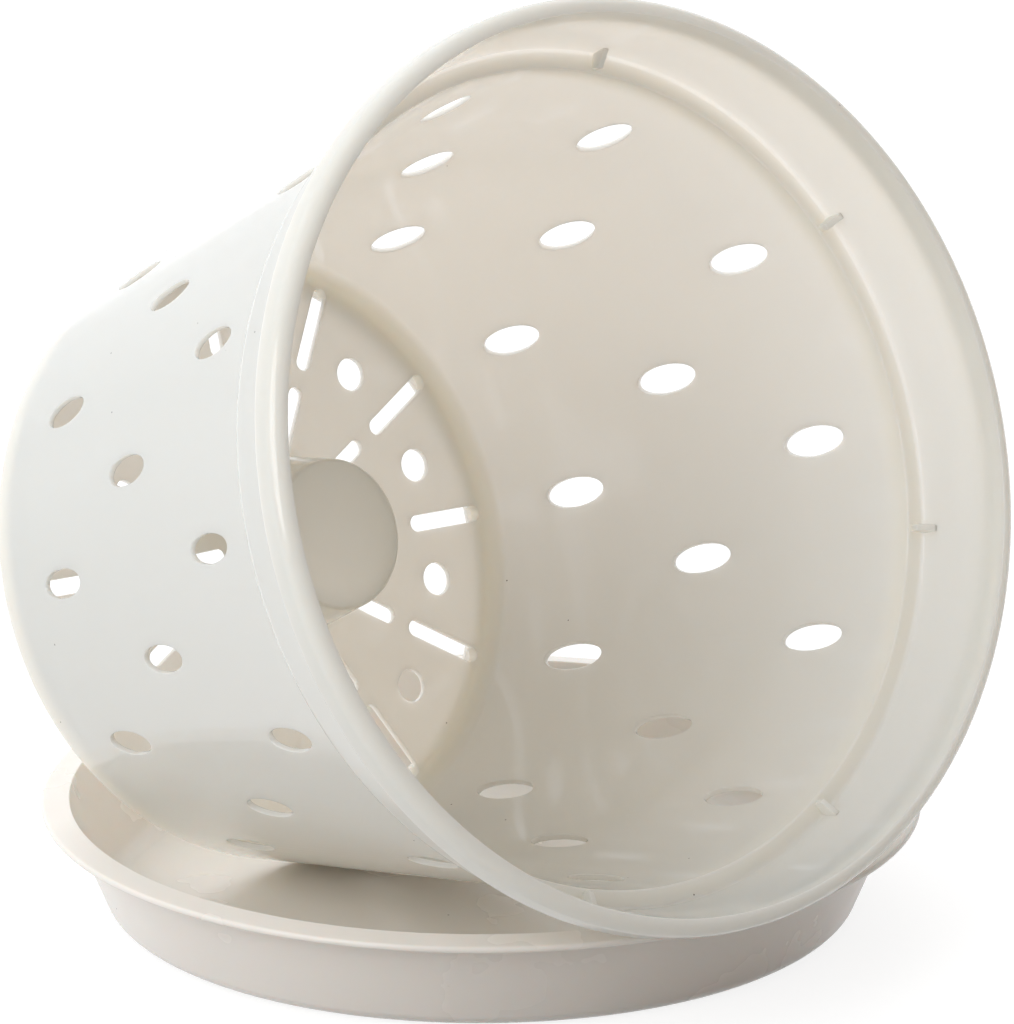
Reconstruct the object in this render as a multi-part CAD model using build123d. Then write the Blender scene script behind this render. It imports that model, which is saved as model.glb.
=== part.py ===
from build123d import *
import math
import os

# Orchid pot with slots, tipped over its drip saucer. Millimetres and degrees, +Z up.
# The origin is the middle of the saucer's foot. The pot is modelled upright on its own axis,
# then tipped until its base edge stands on the saucer's floor and its collar lies on the saucer's lip.

# Pot: outline
pot_height = 130.5
base_radius = 61.0
shoulder_radius = 80.6
rim_radius = 87.0
wall = 1.2
base_edge_fillet = 1.0

# Pot: ledge, collar and lip
rim_depth = 20.1
ledge_width = 3.7
ledge_edge_fillet = 0.5
ledge_corner_fillet = 0.8
collar_drop = 0.4
collar_step = 3.6
collar_fillet = 2.2
lip_width = 3.3
lip_depth = 6.5
lip_groove_depth = 3.5
lip_land = 0.3
lip_skirt_fillet = 0.5
lip_inner_fillet = 0.25

# Pot: stacking lugs on the ledge
lug_count = 8
lug_width = 1.3
lug_height = 3.6
lug_front_height = 1.8
lug_inset = 0.7

# Pot: floor and standing edge
floor_height = 3.4
floor_thickness = 1.4
floor_corner_fillet = 4.0
standing_edge_width = 4.8

# Pot: hollow dome in the middle of the floor
dome_height = 26.9
dome_top_radius = 15.0
dome_draft = 9.8
dome_thickness = 1.4
dome_foot_fillet = 6.0
dome_edge_fillet = 0.8

# Pot: oval air holes in the wall, in rows, the middle row half a pitch round
holes_per_row = 12
hole_length = 15.2
hole_width = 5.8
hole_rows = 3
first_row_height = 25.9
last_row_drop = 21.9

# Pot: drain slots and holes in the floor, on the same pitch as the air holes
slot_width = 3.3
outer_slot_start = 39.7
outer_slot_end = 57.3
inner_slot_end = 35.8
inner_slot_climb = 12.0
drain_hole_radius = 3.3
drain_hole_circle = 45.1

# Saucer
saucer_height = 21.9
saucer_foot_radius = 73.3
saucer_mouth_radius = 81.2
saucer_lip_radius = 86.7
saucer_lip_droop = 0.8
saucer_wall = 1.2
saucer_floor = 1.8
saucer_lip_thickness = 1.4
saucer_lip_fillet = 0.63
saucer_corner_fillet = 4.0

# How the pot lies on the saucer
pot_heading = -48.7
pot_turn = -3.9
pot_setback = 36.0
pot_sideways = 10.2
seat_gap = 0.35
lean_tolerance = 1e-6

# Sizes that follow from the ones above
ledge_height = pot_height - rim_depth
collar_bottom = ledge_height - collar_drop
row_pitch = (ledge_height - last_row_drop - first_row_height) / (hole_rows - 1)
wall_slope = (shoulder_radius - base_radius) / ledge_height
ledge_inner_radius = shoulder_radius - wall
ledge_outer_radius = ledge_inner_radius + ledge_width
rim_slope = (rim_radius - ledge_outer_radius) / (pot_height - ledge_height)
lip_radius = rim_radius + lip_width
lip_roll_fillet = lip_width - lip_land
lip_bottom = pot_height - lip_depth
groove_top = lip_bottom + lip_groove_depth
step_bottom = collar_bottom - collar_step
floor_underside = floor_height - floor_thickness
slot_bottom = floor_underside / 2
dome_top = floor_height + dome_height
dome_slope = math.tan(math.radians(dome_draft))
pitch = 360 / holes_per_row
saucer_slope = (saucer_mouth_radius + saucer_wall - saucer_foot_radius) / saucer_height
cut_margin = 2 * wall


def wall_radius(height):
    """Outside of the tapered wall at a height."""
    return base_radius + wall_slope * height


def collar_radius(height):
    """Outside of the collar at a height; its inside is one wall nearer the axis."""
    return ledge_outer_radius + rim_slope * (height - ledge_height) + wall


def dome_radius(height):
    """Outside of the dome's flank at a height."""
    return dome_top_radius + dome_slope * (dome_top - height)


def revolved(corners):
    """Turn a closed section about the Z axis. Each corner is radius, height and fillet."""
    points = [(radius, height) for radius, height, fillet_radius in corners]
    fillets = [fillet_radius for radius, height, fillet_radius in corners]
    section = make_face(FilletPolyline(*points, radius=fillets, close=True))
    return revolve(Plane.XZ * section, Axis.Z)


# The corners of the pot's outside, from the standing edge up to the lip
pot_outside = [
    (base_radius, 0, base_edge_fillet),
    (wall_radius(step_bottom), step_bottom, collar_fillet),
    (collar_radius(collar_bottom), collar_bottom, collar_fillet),
    (collar_radius(groove_top), groove_top, 0),
    (lip_radius - wall, groove_top, 0),
    (lip_radius - wall, lip_bottom, 0),
    (lip_radius, lip_bottom, lip_skirt_fillet),
    (lip_radius, pot_height, lip_roll_fillet),
]


def pot_shell():
    """The thin wall with its ledge and lip, the floor and the hollow dome, as one revolved section."""
    inside = [
        (rim_radius, pot_height, lip_inner_fillet),
        (ledge_outer_radius, ledge_height, ledge_corner_fillet),
        (ledge_inner_radius, ledge_height, ledge_edge_fillet),
        (wall_radius(floor_height) - wall, floor_height, floor_corner_fillet),
        (dome_radius(floor_height), floor_height, dome_foot_fillet),
        (dome_top_radius, dome_top, dome_edge_fillet),
        (0, dome_top, 0),
    ]
    underside = [
        (0, dome_top - dome_thickness, 0),
        (dome_radius(dome_top - dome_thickness) - dome_thickness, dome_top - dome_thickness, 0),
        (dome_radius(floor_underside) - dome_thickness, floor_underside, dome_foot_fillet),
        (base_radius - standing_edge_width, floor_underside, 0),
        (base_radius - standing_edge_width, 0, 0),
    ]
    seam_turn = pitch / 4  # sets the shell's seam between the rows of cuts
    return Rot(0, 0, seam_turn) * revolved(pot_outside + inside + underside)


def air_hole(height):
    """An oval cut square through the wall, long way up the slope, on the +X side."""
    face = Plane(
        origin=(wall_radius(height), 0, height),
        x_dir=(wall_slope, 0, 1),
        z_dir=(1, 0, -wall_slope),
    )
    return extrude(face * Ellipse(hole_length / 2, hole_width / 2), amount=wall + cut_margin, both=True)


def air_holes():
    """Every oval in the wall; odd rows stand half a pitch round."""
    holes = []
    for row in range(hole_rows):
        hole = air_hole(first_row_height + row * row_pitch)
        stagger = (row % 2) / 2
        holes += [Rot(0, 0, (step + stagger) * pitch) * hole for step in range(holes_per_row)]
    return holes


def floor_slot(start, end, top):
    """A radial slot on the +X side, round at both ends; over the standing edge it is a shallow pocket."""
    outline = Pos((start + end) / 2, 0, slot_bottom) * SlotOverall(end - start, slot_width)
    return extrude(outline, amount=top - slot_bottom)


def drain_cuts():
    """Two slots in line on each spoke, the inner one running up the dome, and a hole between spokes."""
    slot_top = floor_height + inner_slot_climb - slot_width / 2
    dome_inside = dome_radius(slot_top) - dome_thickness - cut_margin
    outer_slot = floor_slot(outer_slot_start, outer_slot_end, floor_height + cut_margin)
    inner_slot = floor_slot(dome_inside, inner_slot_end, slot_top)
    slot_round = Cylinder(slot_width / 2, inner_slot_end - dome_inside, rotation=(0, 90, 0))
    slot_round = Pos((dome_inside + inner_slot_end) / 2, 0, slot_top) * slot_round
    drain_hole = extrude(Circle(drain_hole_radius), amount=floor_height + cut_margin)
    drain_hole = Rot(0, 0, pitch / 2) * Pos(drain_hole_circle, 0) * drain_hole
    spoke = [outer_slot, inner_slot, slot_round, drain_hole]
    return [Rot(0, 0, step * pitch) * cut for step in range(holes_per_row) for cut in spoke]


def lug():
    """A thin rib across the ledge, which keeps nested pots from jamming, on the +X side."""
    front = ledge_inner_radius + lug_inset
    back = ledge_outer_radius + wall / 2
    foot = ledge_height - wall / 2
    outline = Polyline(
        (front, foot),
        (front, ledge_height + lug_front_height),
        (back, ledge_height + lug_height),
        (back, foot),
        close=True,
    )
    return extrude(Plane.XZ * make_face(outline), amount=lug_width / 2, both=True)


def make_pot():
    """The pot, upright on its standing edge, with its first spoke on the +X side."""
    pot = pot_shell().cut(*air_holes(), *drain_cuts())
    lugs = [Rot(0, 0, pitch + step * 360 / lug_count) * lug() for step in range(lug_count)]
    return pot.fuse(*lugs)


def make_saucer():
    """The drip saucer: a shallow flared dish with a drooping lip and a flat foot."""
    wall_inside = saucer_mouth_radius - saucer_slope * (saucer_height - saucer_floor)
    lip_underside = saucer_height - saucer_lip_thickness
    wall_outside = saucer_foot_radius + saucer_slope * lip_underside
    return revolved([
        (0, 0, 0),
        (saucer_foot_radius, 0, saucer_corner_fillet),
        (wall_outside, lip_underside, saucer_lip_fillet),
        (saucer_lip_radius, lip_underside - saucer_lip_droop, saucer_lip_fillet),
        (saucer_lip_radius, saucer_height - saucer_lip_droop, saucer_lip_fillet),
        (saucer_mouth_radius, saucer_height, lip_inner_fillet),
        (wall_inside, saucer_floor, saucer_corner_fillet),
        (0, saucer_floor, 0),
    ])


def outside_radius(height):
    """Outside of the pot at a height, along the straight lines between its corners."""
    radius = 0
    for (lower, low, _), (upper, high, _) in zip(pot_outside, pot_outside[1:]):
        if low <= height <= high and high > low:
            radius = max(radius, lower + (upper - lower) * (height - low) / (high - low))
    return radius


def base_place(lean):
    """Middle of the standing edge, along and above the ground, with the base edge on the saucer's floor."""
    along, up = math.cos(math.radians(lean)), math.sin(math.radians(lean))
    edge_radius = wall_radius(base_edge_fillet) - base_edge_fillet * math.hypot(1, wall_slope)
    edge_up = saucer_floor + seat_gap + base_edge_fillet
    place = -pot_setback - base_edge_fillet * along - edge_radius * up
    return place, edge_up - base_edge_fillet * up + edge_radius * along


def lip_clearance(lean):
    """Least room between the pot's outside and the saucer's lip, with the pot's axis at this lean."""
    along, up = math.cos(math.radians(lean)), math.sin(math.radians(lean))
    place, height = base_place(lean)
    room = []
    for share in (0, 0.25, 0.5, 0.75, 1):
        lip_point = saucer_mouth_radius + share * (saucer_lip_radius - saucer_mouth_radius)
        reach = math.sqrt(lip_point**2 - pot_sideways**2) - place
        drop = saucer_height - share * saucer_lip_droop - height
        room.append(reach * up - drop * along - outside_radius(reach * along + drop * up))
    return min(room)


def lean_on_lip():
    """The lean of the pot's axis above the ground at which its collar lies on the saucer's lip."""
    low, high = 0, 90
    while high - low > lean_tolerance:
        middle = (low + high) / 2
        if lip_clearance(middle) < seat_gap:
            low = middle
        else:
            high = middle
    return high


lean = lean_on_lip()
base_along, base_up = base_place(lean)
tipped = Pos(base_along, -pot_sideways, base_up) * Rot(0, 90 - lean, 0) * Rot(0, 0, pot_turn)

saucer = make_saucer()
pot = Rot(0, 0, pot_heading) * tipped * make_pot()

os.makedirs("parts", exist_ok=True)
export_step(saucer, "parts/saucer.step")
export_step(pot, "parts/pot.step")
print("lean of the pot's axis above the ground:", round(lean, 2))
print("least room between pot and saucer:", round(pot.distance_to(saucer), 3))
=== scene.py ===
# %% [markdown]
# # An orchid pot tipped over its drip saucer
# The real object is two mouldings of off-white plastic: a thin tapered pot full of oval
# air holes, and the shallow dish that catches its water. The CAD model gives their sizes
# and places, so the lesson starts by loading it as a fixed frame and noting its box.
# Everything made later has to stay inside that box.

# %% Load the frame
import math
import bmesh
import bpy
from mathutils import Matrix, Vector


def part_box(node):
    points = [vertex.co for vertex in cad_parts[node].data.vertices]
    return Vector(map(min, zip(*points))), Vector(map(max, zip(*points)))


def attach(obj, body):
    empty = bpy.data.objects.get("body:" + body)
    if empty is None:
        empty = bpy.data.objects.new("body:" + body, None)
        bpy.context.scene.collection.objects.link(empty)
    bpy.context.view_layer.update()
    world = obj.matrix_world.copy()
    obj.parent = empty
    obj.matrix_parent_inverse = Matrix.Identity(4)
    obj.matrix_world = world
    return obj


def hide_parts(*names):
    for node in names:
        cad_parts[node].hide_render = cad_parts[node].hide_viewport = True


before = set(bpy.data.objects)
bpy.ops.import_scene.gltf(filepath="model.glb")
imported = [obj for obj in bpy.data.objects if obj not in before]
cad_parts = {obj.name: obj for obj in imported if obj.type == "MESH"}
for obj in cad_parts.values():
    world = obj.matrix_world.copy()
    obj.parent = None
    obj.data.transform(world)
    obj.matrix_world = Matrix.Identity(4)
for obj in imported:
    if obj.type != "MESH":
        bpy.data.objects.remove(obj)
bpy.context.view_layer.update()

mm = 0.001

# %% [markdown]
# ## A rounded section
# Both mouldings are round, so each is a flat section turned about an axis. A section could
# be typed as a long list of points, but a designer thinks in corners and fillets. So it is
# a face with few corners, and bevel in its vertex mode rounds each corner by itself.
# Bevel measures along the two edges, and a fillet of radius r in a corner of angle a
# touches them r / tan(a / 2) away from the corner.

# %% Round a section and turn it
turn_steps = 288
merge_distance = 1e-7


def fillet_segments(fillet):
    """A small fillet needs fewer segments than a large one."""
    return 5 if fillet < 1 else 9


def rounded_section(corners):
    """A face in the XZ plane; each corner is radius, height and fillet in millimetres."""
    bm = bmesh.new()
    points = [Vector((radius * mm, 0, height * mm)) for radius, height, _ in corners]
    verts = [bm.verts.new(point) for point in points]
    bm.faces.new(verts)
    for i, (_, _, fillet) in enumerate(corners):
        if fillet:
            ahead = points[(i + 1) % len(points)] - points[i]
            behind = points[i - 1] - points[i]
            reach = fillet * mm / math.tan(ahead.angle(behind) / 2)
            bmesh.ops.bevel(bm, geom=[verts[i]], offset=reach, offset_type="OFFSET",
                            affect="VERTICES", segments=fillet_segments(fillet),
                            profile=0.5, material=-1)
    return bm


def turned(bm):
    """The section's outline turned about the Z axis into a closed skin."""
    on_axis = [e for e in bm.edges if all(abs(v.co.x) < merge_distance for v in e.verts)]
    bmesh.ops.delete(bm, geom=bm.faces[:], context="FACES_ONLY")
    bmesh.ops.delete(bm, geom=on_axis, context="EDGES")
    bmesh.ops.spin(bm, geom=bm.verts[:] + bm.edges[:], cent=(0, 0, 0), axis=(0, 0, 1),
                   angle=math.tau, steps=turn_steps, use_merge=True)
    bmesh.ops.remove_doubles(bm, verts=bm.verts[:], dist=merge_distance)
    bmesh.ops.recalc_face_normals(bm, faces=bm.faces[:])
    return bm


def as_object(bm, name):
    """Puts a bmesh into the scene as an object at the origin."""
    mesh = bpy.data.meshes.new(name)
    bm.to_mesh(mesh)
    bm.free()
    piece = bpy.data.objects.new(name, mesh)
    bpy.context.scene.collection.objects.link(piece)
    print(name, len(mesh.vertices), "points", len(mesh.polygons), "faces")
    return piece


# %% [markdown]
# ## The saucer
# The dish is one section: a flat foot, a wall that leans outwards, and a thin lip that
# droops a little. Its fillets are what catch the light, so they get several segments.

# %% Turn the saucer
saucer_height, saucer_foot, saucer_mouth, saucer_lip = 21.9, 73.3, 81.2, 86.7
saucer_wall, saucer_floor, saucer_lip_thick, lip_droop = 1.2, 1.8, 1.4, 0.8
saucer_corner, saucer_lip_round, inner_edge = 4.0, 0.63, 0.25
saucer_slope = (saucer_mouth + saucer_wall - saucer_foot) / saucer_height
under_lip = saucer_height - saucer_lip_thick
saucer_section = [
    (0, 0, 0),
    (saucer_foot, 0, saucer_corner),
    (saucer_foot + saucer_slope * under_lip, under_lip, saucer_lip_round),
    (saucer_lip, under_lip - lip_droop, saucer_lip_round),
    (saucer_lip, saucer_height - lip_droop, saucer_lip_round),
    (saucer_mouth, saucer_height, inner_edge),
    (saucer_mouth - saucer_slope * (saucer_height - saucer_floor), saucer_floor, saucer_corner),
    (0, saucer_floor, 0),
]
saucer = as_object(turned(rounded_section(saucer_section)), "saucer_dish")

# %% [markdown]
# ## The pot's shell
# The pot is turned upright on its own axis first, and tipped at the end. Going round its
# section: the standing edge, the tapered wall, a soft step out to the collar, the rolled
# lip with its hollow underside, down the inside to the ledge, the inner wall, the floor
# and the hollow dome. The step is rounded more softly than in the CAD model, because the
# photograph shows no hard line under the collar.

# %% Turn the pot
pot_height, base_radius, shoulder_radius, rim_radius, wall = 130.5, 61.0, 80.6, 87.0, 1.2
ledge_height, ledge_width, floor_height, floor_thick = 110.4, 3.7, 3.4, 1.4
step_bottom, collar_bottom, lip_bottom, groove_top = 106.4, 110.0, 124.0, 127.5
lip_radius, dome_top, dome_top_radius, dome_thick = 90.3, 30.3, 15.0, 1.4
standing_radius, edge_round, floor_corner, dome_foot = 56.2, 1.0, 4.0, 6.0
dome_draft = math.radians(9.8)
wall_slope = (shoulder_radius - base_radius) / ledge_height
ledge_inner = shoulder_radius - wall
ledge_outer = ledge_inner + ledge_width
rim_slope = (rim_radius - ledge_outer) / (pot_height - ledge_height)
dome_slope = math.tan(dome_draft)
floor_under = floor_height - floor_thick
dome_under = dome_top - dome_thick


def wall_radius(height):
    """Outside of the tapered wall at a height, in millimetres."""
    return base_radius + wall_slope * height


def collar_radius(height):
    """Outside of the collar at a height, in millimetres."""
    return ledge_outer + rim_slope * (height - ledge_height) + wall


def dome_radius(height):
    """Outside of the dome's flank at a height, in millimetres."""
    return dome_top_radius + dome_slope * (dome_top - height)


pot_section = [
    (base_radius, 0, edge_round),
    (wall_radius(step_bottom), step_bottom, 6.0),
    (collar_radius(collar_bottom), collar_bottom, 5.0),
    (collar_radius(groove_top), groove_top, 0.5),
    (lip_radius - wall, groove_top, 0.5),
    (lip_radius - wall, lip_bottom, 0.3),
    (lip_radius, lip_bottom, 0.5),
    (lip_radius, pot_height, 3.0),
    (rim_radius, pot_height, inner_edge),
    (ledge_outer, ledge_height, 0.8),
    (ledge_inner, ledge_height, 0.5),
    (wall_radius(floor_height) - wall, floor_height, floor_corner),
    (dome_radius(floor_height), floor_height, dome_foot),
    (dome_top_radius, dome_top, 0.8),
    (0, dome_top, 0),
    (0, dome_under, 0),
    (dome_radius(dome_under) - dome_thick, dome_under, 0),
    (dome_radius(floor_under) - dome_thick, floor_under, dome_foot),
    (standing_radius, floor_under, 0),
    (standing_radius, 0, 0.3),
]
pot = as_object(turned(rounded_section(pot_section)), "pot_shell")

# %% [markdown]
# ## Punching the holes
# The mould leaves 36 ovals in the wall, and slots and round holes in the floor. Each could
# be modelled into the wall's own quads, but a Boolean keeps the wall a plain cone, so its
# reflections stay smooth. A punch is a row of rings bridged together: waisted in the middle
# and flared at its ends, so that one cut also leaves a soft chamfer on both rims.

# %% Make the punches
hole_rows, holes_per_row, punch_sides = 3, 12, 48
hole_half_long, hole_half_wide = 7.6, 2.9
first_row, row_pitch = 25.9, 31.3
chamfer, past = 0.18, 1.6
pitch = math.tau / holes_per_row
half_side = Matrix.Rotation(math.pi / punch_sides, 4, "Z")


def punch(bm, place, half_long, half_wide, low, high, pull=0, blind=False):
    """A punch about place's Z axis, its rims at low and high; pull draws it out to a slot."""
    foot = [(low, 0)] if blind else [(low - past, chamfer + past), (low + chamfer, 0)]
    stages = foot + [(high - chamfer, 0), (high + past, chamfer + past)]
    rings = []
    for height, flare in stages:
        ends = height in (stages[0][0], stages[-1][0])
        ring = bmesh.ops.create_circle(bm, cap_ends=ends, segments=punch_sides, radius=1,
                                       matrix=half_side)["verts"]
        for v in ring:
            along = v.co.x * (half_long + flare) + math.copysign(pull, v.co.x)
            across = v.co.y * (half_wide + flare)
            v.co = place @ Vector((along * mm, across * mm, height * mm))
        rings.append({e for v in ring for e in v.link_edges})
    for lower, upper in zip(rings, rings[1:]):
        bmesh.ops.bridge_loops(bm, edges=list(lower | upper))


def wall_place(turn, height):
    """A place on the wall: X up the slope, Z out of the wall."""
    lean = math.atan(wall_slope)
    out_to_wall = Matrix.Translation((wall_radius(height) * mm, 0, height * mm))
    return (Matrix.Rotation(turn, 4, "Z") @ out_to_wall
            @ Matrix.Rotation(math.pi / 2 + lean, 4, "Y") @ Matrix.Rotation(math.pi, 4, "Z"))


punches = bmesh.new()
wall_through = wall * math.cos(math.atan(wall_slope))
for row in range(hole_rows):
    for step in range(holes_per_row):
        place = wall_place((step + row % 2 / 2) * pitch, first_row + row_pitch * row)
        punch(punches, place, hole_half_long, hole_half_wide, -wall_through, 0)
print("wall punches:", len(punches.verts), "points", len(punches.faces), "faces")

# %% [markdown]
# In the floor each spoke has two slots in line and a round hole beside them. The outer
# slot reaches over the standing edge, so there it is only a shallow pocket: its punch is
# blind, with no flare at its foot. The inner slot runs on up the dome's flank, so besides
# its floor punch it needs a tall round-topped bar that lies along the spoke.

# %% Make the floor punches
slot_half, slot_climb, slot_bottom = 1.65, 12.0, floor_under / 2
slot_ends = ((39.7, 57.3), (27.5, 35.8))
drain_circle, drain_radius = 45.1, 3.3
slot_top = floor_height + slot_climb - slot_half
bar_start, bar_end = dome_radius(slot_top) - dome_thick - 2 * wall, 33.0
lie_down = (Matrix.Translation((bar_start * mm, 0, slot_top * mm))
            @ Matrix.Rotation(math.pi / 2, 4, "Y"))
bars = bmesh.new()
for step in range(holes_per_row):
    spoke = Matrix.Rotation(step * pitch, 4, "Z")
    between = Matrix.Rotation((step + 0.5) * pitch, 4, "Z")
    for start, end in slot_ends:
        middle, half = (start + end) / 2, (end - start) / 2
        punch(punches, spoke @ Matrix.Translation((middle * mm, 0, 0)), slot_half, slot_half,
              slot_bottom, floor_height, pull=half - slot_half, blind=True)
    punch(punches, between @ Matrix.Translation((drain_circle * mm, 0, 0)),
          drain_radius, drain_radius, floor_under, floor_height)
    ring = bmesh.ops.create_circle(bars, cap_ends=True, segments=punch_sides,
                                   radius=slot_half * mm, matrix=half_side)["verts"]
    for v in ring:
        v.co.x += slot_top * mm if v.co.x > 0 else 0
    made = bmesh.ops.extrude_face_region(bars, geom=list(ring[0].link_faces))["geom"]
    far = [g for g in made if isinstance(g, bmesh.types.BMVert)]
    for v in far:
        v.co.z = (bar_end - bar_start) * mm
    bmesh.ops.transform(bars, matrix=spoke @ lie_down, verts=ring + far)
for tool in (punches, bars):
    bmesh.ops.recalc_face_normals(tool, faces=tool.faces[:])
punches = as_object(punches, "punches")
bars = as_object(bars, "dome_punches")

# %% [markdown]
# ## Stacking lugs
# Eight little ribs stand across the ledge, and keep a stack of pots from jamming. Each is
# a small face pushed out to its thickness, with its edges softened by bevel.

# %% Make the lugs
lug_count, lug_width, lug_inset, lug_edge = 8, 1.3, 0.7, 0.2
lug_front_height, lug_back_height = 1.8, 3.6
front, back = ledge_inner + lug_inset, ledge_outer + wall / 2
foot = ledge_height - wall / 2
outline = [(front, foot), (front, ledge_height + lug_front_height),
           (back, ledge_height + lug_back_height), (back, foot)]
lugs = bmesh.new()
for step in range(lug_count):
    turn = Matrix.Rotation(pitch + step * math.tau / lug_count, 4, "Z")
    corners = [lugs.verts.new((x * mm, -lug_width / 2 * mm, z * mm)) for x, z in outline]
    face = lugs.faces.new(corners)
    made = bmesh.ops.extrude_face_region(lugs, geom=[face])["geom"]
    grown = [g for g in made if isinstance(g, bmesh.types.BMVert)]
    bmesh.ops.translate(lugs, vec=(0, lug_width * mm, 0), verts=grown)
    bmesh.ops.transform(lugs, matrix=turn, verts=list(face.verts) + grown)
bmesh.ops.recalc_face_normals(lugs, faces=lugs.faces[:])
bmesh.ops.bevel(lugs, geom=lugs.edges[:], offset=lug_edge * mm, offset_type="OFFSET",
                affect="EDGES", segments=2, profile=0.5, material=-1)
lugs = as_object(lugs, "lugs")

# %% [markdown]
# ## Cutting
# Two Booleans take the punches out of the shell and a third joins the lugs to it. The
# exact solver keeps the thin wall clean, and the result becomes the pot's own mesh, so
# the punches can go.

# %% Cut and join
for tool, operation in ((punches, "DIFFERENCE"), (bars, "DIFFERENCE"), (lugs, "UNION")):
    step = pot.modifiers.new(tool.name, "BOOLEAN")
    step.operation, step.solver, step.object = operation, "EXACT", tool
finished = pot.evaluated_get(bpy.context.evaluated_depsgraph_get())
pot.data = bpy.data.meshes.new_from_object(finished)
pot.modifiers.clear()
for tool in (punches, bars, lugs):
    bpy.data.objects.remove(tool)
print("pot cut:", len(pot.data.vertices), "points", len(pot.data.polygons), "faces")

# %% [markdown]
# ## Tipping the pot
# The pot rests on its base edge and on the saucer's lip, as the CAD model worked out. The
# turn goes into the mesh, so that the object itself stays at the origin, unturned.
# Weighted normals then keep the broad walls even right up to the cuts.

# %% Place the pot
lean, heading, spoke_turn = math.radians(21.67), math.radians(-48.7), math.radians(-3.9)
setback, sideways, seat_gap, sharp_angle = 36.0, 10.2, 0.35, math.radians(50)
edge_radius = wall_radius(edge_round) - edge_round * math.hypot(1, wall_slope)
along = -setback - edge_round * math.cos(lean) - edge_radius * math.sin(lean)
up = saucer_floor + seat_gap + edge_round * (1 - math.sin(lean)) + edge_radius * math.cos(lean)
tip = (Matrix.Rotation(heading, 4, "Z")
       @ Matrix.Translation((along * mm, -sideways * mm, up * mm))
       @ Matrix.Rotation(math.pi / 2 - lean, 4, "Y") @ Matrix.Rotation(spoke_turn, 4, "Z"))
pot.data.transform(tip)
for piece, node in ((saucer, "saucer"), (pot, "pot")):
    points = [v.co for v in piece.data.vertices]
    mine = [Vector([pick(p[k] for p in points) for k in range(3)]) for pick in (min, max)]
    off = [round((own - cad).length / mm, 3) for own, cad in zip(mine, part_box(node))]
    print(node, "stands off the CAD box by, mm:", off)
    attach(piece, node)
    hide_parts(node)
    piece.data.shade_smooth()
    softer = piece.modifiers.new("even_shading", "WEIGHTED_NORMAL")
    softer.weight, softer.keep_sharp = 100, True
    piece.data.set_sharp_from_angle(angle=sharp_angle)

# %% [markdown]
# ## The skin of a moulding
# Polypropylene from a polished mould is not perfectly even. It ripples slowly where the
# melt cooled, it carries a very fine grain, and its gloss wanders. Both mouldings show
# this, so it is one node group that gives masks and a height, and each material sets its
# own amounts. Noise on Object coordinates stays put on the piece and needs no image.

# %% Build the skin group


def new_group(name, inputs, outputs):
    """A shader node group with float sockets; inputs gives each one's starting amount."""
    group = bpy.data.node_groups.new(name, "ShaderNodeTree")
    for socket, amount in inputs.items():
        made = group.interface.new_socket(socket, in_out="INPUT", socket_type="NodeSocketFloat")
        made.default_value = amount
    for socket in outputs:
        group.interface.new_socket(socket, in_out="OUTPUT", socket_type="NodeSocketFloat")
    given, put_out = group.nodes.new("NodeGroupInput"), group.nodes.new("NodeGroupOutput")
    spot = group.nodes.new("ShaderNodeTexCoord").outputs["Object"]
    return group, given.outputs, put_out.inputs, spot


def noise(tree, coords, scale, detail):
    """A noise node on given coordinates; its scale counts waves per metre."""
    node = tree.nodes.new("ShaderNodeTexNoise")
    node.inputs["Scale"].default_value, node.inputs["Detail"].default_value = scale, detail
    tree.links.new(coords, node.inputs["Vector"])
    return node.outputs["Fac"]


def math_node(tree, operation, first, second):
    """A two-input math node; each input is a socket or a number."""
    node = tree.nodes.new("ShaderNodeMath")
    node.operation = operation
    for socket, value in zip(node.inputs, (first, second)):
        if isinstance(value, (int, float)):
            socket.default_value = value
        else:
            tree.links.new(value, socket)
    return node.outputs[0]


skin, given, put_out, spot = new_group("moulded_skin", {"Ripple": 1.0, "Grain": 1.0},
                                       ("Cloud", "Gloss", "Height"))
skin.links.new(noise(skin, spot, scale=22, detail=2), put_out["Cloud"])
skin.links.new(noise(skin, spot, scale=45, detail=3), put_out["Gloss"])
waves, pores = noise(skin, spot, scale=60, detail=0), noise(skin, spot, scale=1500, detail=1)
ripple = math_node(skin, "MULTIPLY", waves, given["Ripple"])
grain = math_node(skin, "MULTIPLY", pores, given["Grain"])
skin.links.new(math_node(skin, "ADD", ripple, grain), put_out["Height"])
print("skin group:", len(skin.nodes), "nodes")

# %% [markdown]
# A few tiny dark specks sit in the plastic, as they do in any light regrind. Voronoi cells
# scatter points through space; only where the surface passes close to a point, and only
# for a few of the cells, does the mask show one.

# %% Build the speck group
cells_per_metre, chosen_above = 170, 0.8
specks, given, put_out, spot = new_group("dark_specks", {"Size": 0.03}, ("Speck",))
cells = specks.nodes.new("ShaderNodeTexVoronoi")
cells.inputs["Scale"].default_value = cells_per_metre
specks.links.new(spot, cells.inputs["Vector"])
tone = specks.nodes.new("ShaderNodeSeparateColor")
specks.links.new(cells.outputs["Color"], tone.inputs["Color"])
near = math_node(specks, "LESS_THAN", cells.outputs["Distance"], given["Size"])
chosen = math_node(specks, "GREATER_THAN", tone.outputs["Red"], chosen_above)
specks.links.new(math_node(specks, "MULTIPLY", near, chosen), put_out["Speck"])
print("speck group:", len(specks.nodes), "nodes")

# %% [markdown]
# ## The two plastics
# The pot and the saucer are the same off-white, and the pot's wall is thin enough that
# light seeps through it: that is why its hollow inside glows warm where the outside is
# cool. A flat colour would look like card, and a transparent mix would show the floor
# through the wall. So the light is let into the material by subsurface scattering. In the
# pot it travels several times the wall's thickness; the saucer is denser and less glossy.

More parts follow.
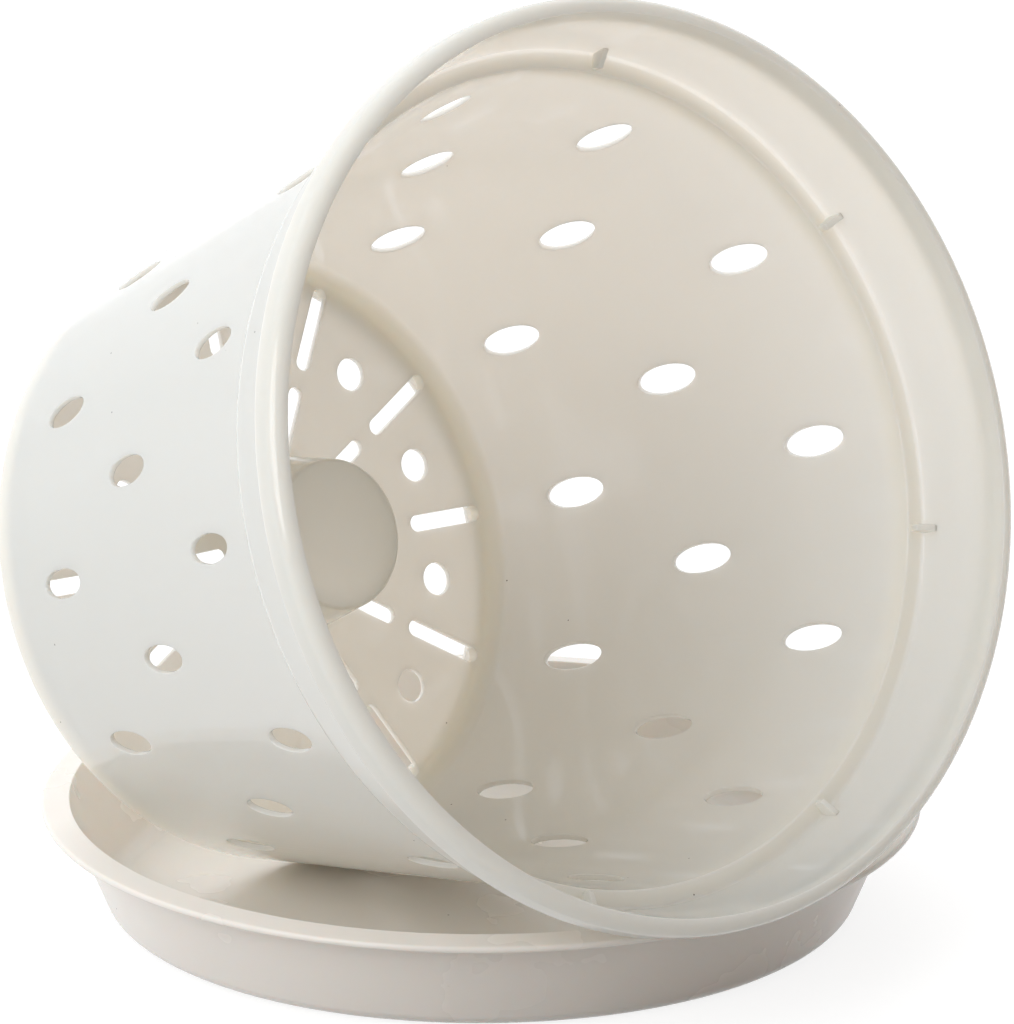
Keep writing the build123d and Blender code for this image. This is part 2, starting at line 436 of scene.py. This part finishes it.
# %% Make the plastics
speck_tone, grain_share = (0.16, 0.13, 0.10), 0.03
bump_strength, bump_depth = 0.25, 0.2
plastic_ior, colour_reach = 1.49, (1.0, 0.84, 0.74)


def mix_colour(tree, share, first, second):
    """A colour mix; share is a socket, each colour a socket or a colour."""
    node = tree.nodes.new("ShaderNodeMix")
    node.data_type = "RGBA"
    tree.links.new(share, node.inputs["Factor"])
    for socket, value in ((node.inputs[6], first), (node.inputs[7], second)):
        if isinstance(value, tuple):
            socket.default_value = (*value, 1)
        else:
            tree.links.new(value, socket)
    return node.outputs[2]


def plastic(name, light_tone, deep_tone, ripple, rough_low, rough_high, depth):
    """A softly glossy, translucent moulded plastic; depth is how far light goes in it, in mm."""
    material = bpy.data.materials.new(name)
    material.use_nodes = True
    tree = material.node_tree
    shader = tree.nodes["Principled BSDF"]
    skin_node, speck_node = (tree.nodes.new("ShaderNodeGroup") for _ in range(2))
    skin_node.node_tree, speck_node.node_tree = skin, specks
    skin_node.inputs["Ripple"].default_value = ripple
    skin_node.inputs["Grain"].default_value = grain_share
    colour = mix_colour(tree, skin_node.outputs["Cloud"], deep_tone, light_tone)
    colour = mix_colour(tree, speck_node.outputs["Speck"], colour, speck_tone)
    tree.links.new(colour, shader.inputs["Base Color"])
    rough = tree.nodes.new("ShaderNodeMapRange")
    rough.inputs["To Min"].default_value = rough_low
    rough.inputs["To Max"].default_value = rough_high
    tree.links.new(skin_node.outputs["Gloss"], rough.inputs["Value"])
    tree.links.new(rough.outputs["Result"], shader.inputs["Roughness"])
    bump = tree.nodes.new("ShaderNodeBump")
    bump.inputs["Strength"].default_value = bump_strength
    bump.inputs["Distance"].default_value = bump_depth * mm
    tree.links.new(skin_node.outputs["Height"], bump.inputs["Height"])
    tree.links.new(bump.outputs["Normal"], shader.inputs["Normal"])
    shader.inputs["IOR"].default_value = plastic_ior
    shader.inputs["Subsurface Weight"].default_value = 1.0
    shader.inputs["Subsurface Radius"].default_value = colour_reach
    shader.inputs["Subsurface Scale"].default_value = depth * mm
    return material


pot_plastic = plastic(
    "pot_plastic", light_tone=(0.86, 0.835, 0.765), deep_tone=(0.84, 0.815, 0.74),
    ripple=0.6, rough_low=0.05, rough_high=0.12, depth=8.0)
saucer_plastic = plastic(
    "saucer_plastic", light_tone=(0.845, 0.82, 0.785), deep_tone=(0.825, 0.80, 0.765),
    ripple=0.6, rough_low=0.2, rough_high=0.32, depth=0.9)
for piece, material in ((pot, pot_plastic), (saucer, saucer_plastic)):
    piece.data.materials.clear()
    piece.data.materials.append(material)
    print(material.name, "on", piece.name, "with", len(material.node_tree.nodes), "nodes")

# %% [markdown]
# ## Floor
# The studio has a pale floor that runs out to white. Seen by the camera, or mirrored in
# the plastic, it glows enough to be white and still keeps a soft shadow; for all other
# light it is a plain pale surface, so it doesn't light the object more than paper would.
# It lies a hair below the saucer's foot, because two faces in one plane would fight over
# the light that passes through the saucer.

# %% Floor
floor_reach, floor_drop = 6, 0.3
paper_tone, seen_tone, paper_glow = (0.58, 0.57, 0.56, 1), (0.25, 0.25, 0.25, 1), 0.84


def in_sight(tree):
    """1 for what the camera sees, plainly, in a gloss or through the plastic; else 0."""
    path = tree.nodes.new("ShaderNodeLightPath").outputs
    seen = math_node(tree, "MAXIMUM", path["Is Camera Ray"], path["Is Glossy Ray"])
    return math_node(tree, "MAXIMUM", seen, path["Is Transmission Ray"])


floor_bm = bmesh.new()
bmesh.ops.create_grid(floor_bm, x_segments=1, y_segments=1, size=floor_reach)
bmesh.ops.translate(floor_bm, vec=(0, 0, -floor_drop * mm), verts=floor_bm.verts[:])
floor = as_object(floor_bm, "studio_floor")
paper = bpy.data.materials.new("studio_paper")
paper.use_nodes = True
nodes, links = paper.node_tree.nodes, paper.node_tree.links
nodes.clear()
out = nodes.new("ShaderNodeOutputMaterial")
mix = nodes.new("ShaderNodeMixShader")
lit = nodes.new("ShaderNodeBsdfDiffuse")
lit.inputs["Color"].default_value = paper_tone
seen = nodes.new("ShaderNodeAddShader")
seen_lit = nodes.new("ShaderNodeBsdfDiffuse")
seen_lit.inputs["Color"].default_value = seen_tone
glow = nodes.new("ShaderNodeEmission")
glow.inputs["Strength"].default_value = paper_glow
links.new(in_sight(paper.node_tree), mix.inputs["Fac"])
links.new(lit.outputs[0], mix.inputs[1])
links.new(seen_lit.outputs[0], seen.inputs[0])
links.new(glow.outputs[0], seen.inputs[1])
links.new(seen.outputs[0], mix.inputs[2])
links.new(mix.outputs[0], out.inputs["Surface"])
floor.data.materials.append(paper)
print("floor", round(floor.dimensions.x), "m wide,", len(nodes), "nodes")

# %% [markdown]
# ## The room's light
# The photograph is lit like a catalogue picture, with no hard shadow anywhere. The room is
# bright and white towards the upper left and the back, and dims and warms towards the
# right, so what faces the right is in soft shade. Where the room itself is seen, beyond
# the floor's edge, it is plain white like the floor.

# %% World
bright_way, brightest, white_by = (-0.75, 0.53, 0.4), 1.12, 1.6
warm, white = (1, 0.84, 0.68), (1, 1, 1)
world = bpy.data.worlds.new("studio")
bpy.context.scene.world = world
world.use_nodes = True
room = world.node_tree
sky = room.nodes["Background"]
way = room.nodes.new("ShaderNodeTexCoord")
facing = room.nodes.new("ShaderNodeVectorMath")
facing.operation = "DOT_PRODUCT"
facing.inputs[1].default_value = bright_way
room.links.new(way.outputs["Generated"], facing.inputs[0])


def graded(tree, value, bright):
    """A number that goes from 0 to bright as value goes from -1 to 1."""
    node = tree.nodes.new("ShaderNodeMapRange")
    for name, setting in (("From Min", -1), ("From Max", 1), ("To Min", 0), ("To Max", bright)):
        node.inputs[name].default_value = setting
    tree.links.new(value, node.inputs["Value"])
    return node.outputs["Result"]


side = facing.outputs["Value"]
tint = mix_colour(room, graded(room, side, white_by), warm, white)
shown = in_sight(room)
unseen = math_node(room, "SUBTRACT", 1, shown)
strength = math_node(room, "MULTIPLY", graded(room, side, brightest), unseen)
room.links.new(mix_colour(room, shown, tint, white), sky.inputs["Color"])
room.links.new(math_node(room, "ADD", strength, shown), sky.inputs["Strength"])
print("room:", len(room.nodes), "nodes")

# %% [markdown]
# ## Lamps
# A broad lamp at the front left models the outside. A second one behind lights the walls
# that the camera doesn't see, and their light seeps through and fills the inside; gloss
# doesn't show that lamp, or the lifted pot's saucer would glare. Light bounces many times
# inside a white pot, so more diffuse bounces are allowed than usual.

# %% Lamps
lamp_aim = Vector((0, 0, 0.08))


def softbox(name, place, size, watts, mirrored):
    """A round area lamp that faces the object; mirrored says whether gloss shows it."""
    lamp = bpy.data.lights.new(name, "AREA")
    lamp.shape, lamp.size, lamp.energy = "DISK", size, watts
    holder = bpy.data.objects.new(name, lamp)
    holder.location, holder.visible_glossy = place, mirrored
    holder.rotation_euler = (lamp_aim - Vector(place)).to_track_quat("-Z", "Y").to_euler()
    bpy.context.scene.collection.objects.link(holder)
    print(name, "lamp", watts, "W,", round(Vector(place).length, 2), "m away")


softbox("key", place=(-1.4, -1.65, 1.2), size=1.7, watts=23, mirrored=True)
softbox("back", place=(-0.3, 1.85, 1.15), size=1.8, watts=21, mirrored=False)
bpy.context.scene.cycles.diffuse_bounces = 12

# %% [markdown]
# ## Camera
# A long lens from a little above, looking along +Y, as solved from the photograph. The
# solution gave the focal length in pixels of the photograph's width.

# %% Camera
photo_width, focal_pixels, film_width, elevation = 1014, 10719, 36, 17.99
view = bpy.data.cameras.new("photo_view")
view.sensor_fit, view.sensor_width = "HORIZONTAL", film_width
view.lens = film_width * focal_pixels / photo_width
camera = bpy.data.objects.new("photo_view", view)
camera.location = (0.0051, -1.9931, 0.7270)
camera.rotation_euler = (math.radians(90 - elevation), 0, 0)
bpy.context.scene.collection.objects.link(camera)
bpy.context.scene.camera = camera
bpy.context.scene.view_settings.view_transform = "Standard"
print("camera", round(camera.location.length, 3), "m away, lens", round(view.lens), "mm")

# %% [markdown]
# ## Size
# The dressed part has to be as big as its CAD model. The offsets from both CAD boxes are printed
# where the pieces are placed, and this cell only brings the scene up to date.

# %% Size
bpy.context.view_layer.update()
